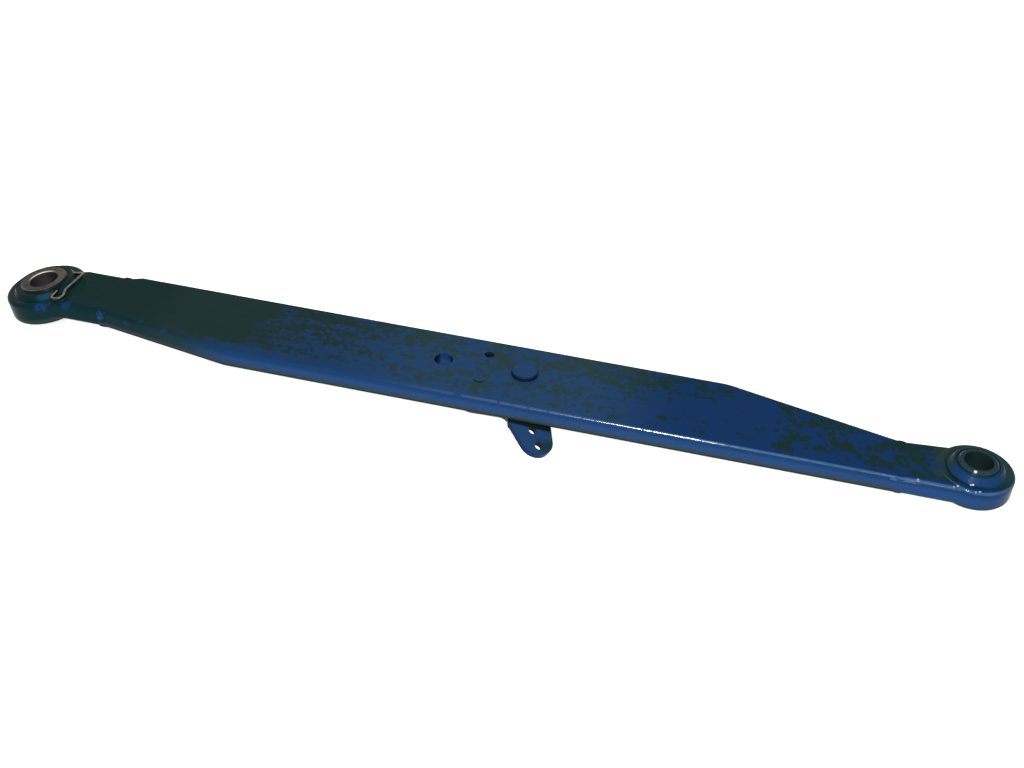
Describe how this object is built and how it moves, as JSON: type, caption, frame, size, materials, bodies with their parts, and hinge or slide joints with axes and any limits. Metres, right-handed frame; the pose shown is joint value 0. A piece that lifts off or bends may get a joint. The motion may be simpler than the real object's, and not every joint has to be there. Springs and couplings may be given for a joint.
{
  "type": "tractor lift arm",
  "caption": "Flat steel lower lift arm for a tractor hitch, with a swivel ball in a forged eye at each end, a cranked implement end with a wire clip and a riveted side bracket.",
  "frame": {"origin": "centre of the front (tractor's) ball, on its bore's axis and in the bar's mid plane", "axes": "+X along the bar, away from the implement; +Z along the front ball's bore; -Y the side of the bracket's ear"},
  "size_m": [0.9836, 0.12, 0.0533],
  "materials": {
    "bar_paint": "blue gloss paint with dark mottled film, on hot-rolled flat steel",
    "front_eye_paint": "thick gloss blue paint on a forging",
    "rear_eye_paint": "thick gloss dark teal paint on a forging",
    "weld_paint": "gloss paint over a rippled weld",
    "front_ball_paint": "gloss dark teal paint, rubbed thin",
    "rear_ball_steel": "turned steel with oxide brown tint, teal paint on its round zone",
    "clip_wire": "drawn spring wire with a brown oxide tint",
    "bracket_paint": "gloss blue paint on bent plate",
    "fastener_paint": "gloss blue paint over rivet and peg"
  },
  "bodies": {
    "arm": {"bar": "bar_paint", "front_eye": "front_eye_paint", "rear_eye": "rear_eye_paint", "front_weld": "weld_paint", "rear_weld": "weld_paint", "bracket": "bracket_paint", "bracket_rivet": "fastener_paint", "bracket_peg": "fastener_paint"},
    "front_ball": {"front_ball": "front_ball_paint"},
    "rear_ball": {"rear_ball": "rear_ball_steel"},
    "ball_clip": {"ball_clip": "clip_wire"}
  },
  "joints": [
    {"name": "front_ball_sway", "type": "hinge", "parent": "arm", "child": "front_ball", "pos_m": [0, 0, 0], "axis": [0, 1, 0], "range_deg": [-25, 25]},
    {"name": "rear_ball_sway", "type": "hinge", "parent": "arm", "child": "rear_ball", "pos_m": [-0.909, 0.0268, -0.00717], "axis": [0, 1, 0], "range_deg": [-25, 25]},
    {"name": "clip_lift", "type": "hinge", "parent": "arm", "child": "ball_clip", "pos_m": [-0.88827, 0.0433, 0.01073], "axis": [-0.9781, 0, -0.2079], "range_deg": [0, 100]}
  ]
}
